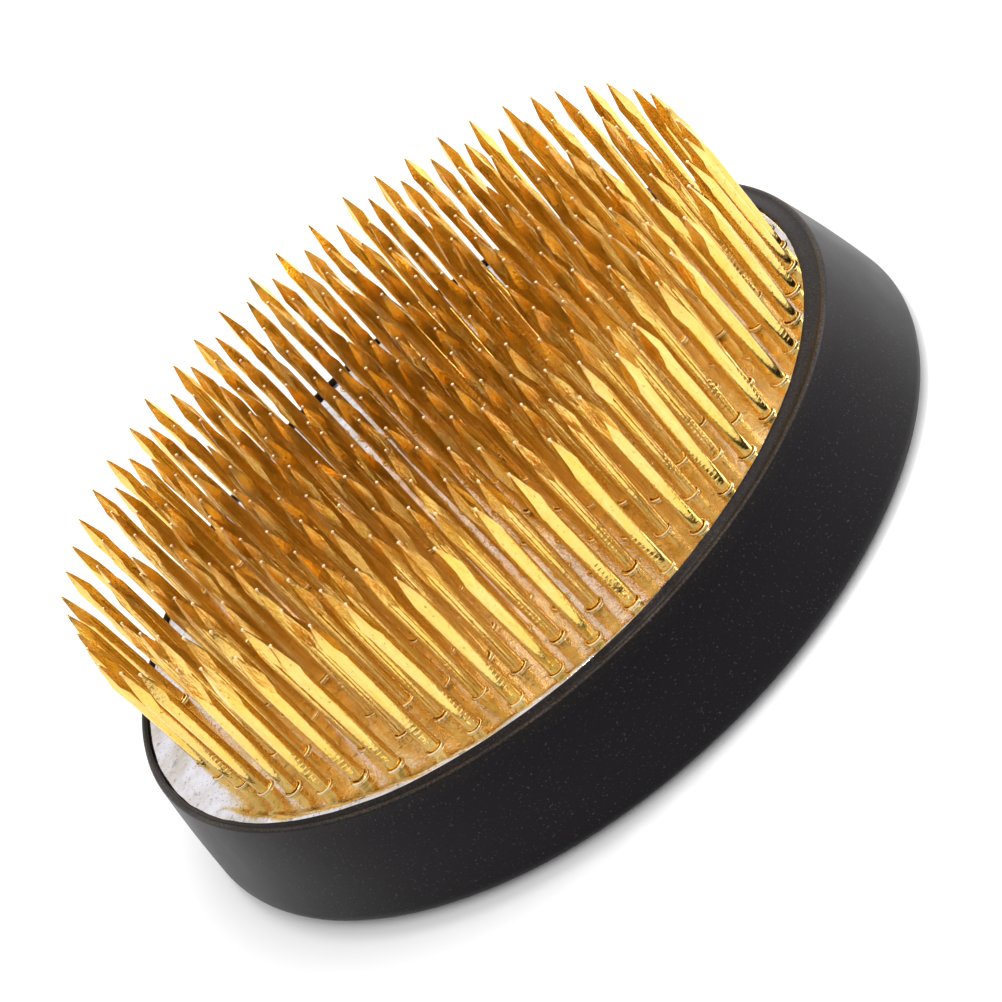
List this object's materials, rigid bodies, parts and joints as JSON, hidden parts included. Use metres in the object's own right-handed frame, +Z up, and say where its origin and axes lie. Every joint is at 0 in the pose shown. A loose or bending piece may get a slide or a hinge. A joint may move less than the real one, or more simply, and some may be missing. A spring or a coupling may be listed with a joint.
{
  "type": "flower frog",
  "caption": "Heavy round cast disc with rings of upright pointed brass pins that hold flower stems, inside a flared black rubber ring.",
  "frame": {"origin": "middle of the underside, on the surface that the part rests on", "axes": "+Z up along the pins, the axis of the round base; +X towards the first pin of every ring of pins"},
  "size_m": [0.075, 0.075, 0.025],
  "materials": {
    "lead_alloy": "bright bare lead and tin alloy, as cast, mirror-like with faint ripples",
    "brass": "polished drawn wire with pinched points",
    "black_rubber": "satin moulded rubber with fine pale dust"
  },
  "bodies": {
    "root": {"base_casting": "lead_alloy", "centre_pin": "brass", "pin_ring_1": "brass", "pin_ring_2": "brass", "pin_ring_3": "brass", "pin_ring_4_arc_1": "brass", "pin_ring_4_arc_2": "brass", "pin_ring_4_arc_3": "brass", "pin_ring_5_arc_1": "brass", "pin_ring_5_arc_2": "brass", "pin_ring_5_arc_3": "brass", "pin_ring_6_arc_1": "brass", "pin_ring_6_arc_2": "brass", "pin_ring_6_arc_3": "brass", "pin_ring_7_arc_1": "brass", "pin_ring_7_arc_2": "brass", "pin_ring_7_arc_3": "brass", "pin_ring_7_arc_4": "brass", "pin_ring_7_arc_5": "brass", "pin_ring_7_arc_6": "brass", "pin_ring_8_arc_1": "brass", "pin_ring_8_arc_2": "brass", "pin_ring_8_arc_3": "brass", "pin_ring_8_arc_4": "brass", "pin_ring_8_arc_5": "brass", "pin_ring_8_arc_6": "brass", "pin_ring_9_arc_1": "brass", "pin_ring_9_arc_2": "brass", "pin_ring_9_arc_3": "brass", "pin_ring_9_arc_4": "brass", "pin_ring_9_arc_5": "brass", "pin_ring_9_arc_6": "brass", "rubber_ring": "black_rubber"}
  },
  "joints": []
}
